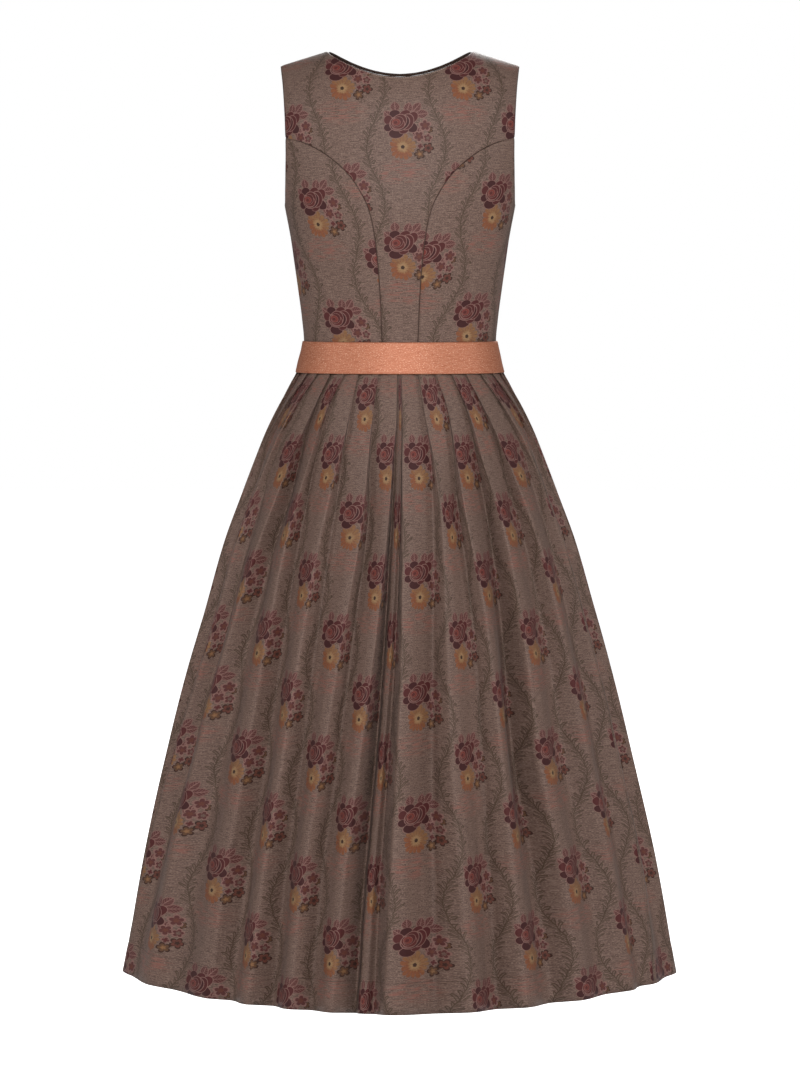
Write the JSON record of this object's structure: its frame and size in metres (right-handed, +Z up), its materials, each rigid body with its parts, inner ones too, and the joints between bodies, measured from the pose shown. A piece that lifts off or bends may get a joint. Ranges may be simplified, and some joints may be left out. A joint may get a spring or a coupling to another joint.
{
  "type": "dirndl",
  "caption": "Sleeveless midi dirndl with princess-seamed bodice, high back neckline, satin waist belt and knife-pleated full skirt, open and filled out as worn",
  "frame": {"origin": "midway between the two neck points, at the top of the shoulder seams where the dress hangs on its wearer", "axes": "+Z up along the wearer; wearer faces +Y and has the right hand towards +X; the back is towards -Y"},
  "size_m": [0.7136, 0.4887, 1.1767],
  "materials": {
    "bodice_cloth": "patterned jacquard, soft satin sheen",
    "skirt_cloth": "patterned jacquard, soft satin sheen",
    "piping": "plain dark cord",
    "belt_satin": "satin with a fine metallic grain"
  },
  "bodies": {
    "root": {"back_centre": "bodice_cloth", "back_side_left": "bodice_cloth", "back_side_right": "bodice_cloth", "front_left": "bodice_cloth", "front_right": "bodice_cloth", "front_side_left": "bodice_cloth", "front_side_right": "bodice_cloth", "neck_piping": "piping", "belt": "belt_satin", "skirt_back": "skirt_cloth", "skirt_front_left": "skirt_cloth", "skirt_front_right": "skirt_cloth"}
  },
  "joints": []
}
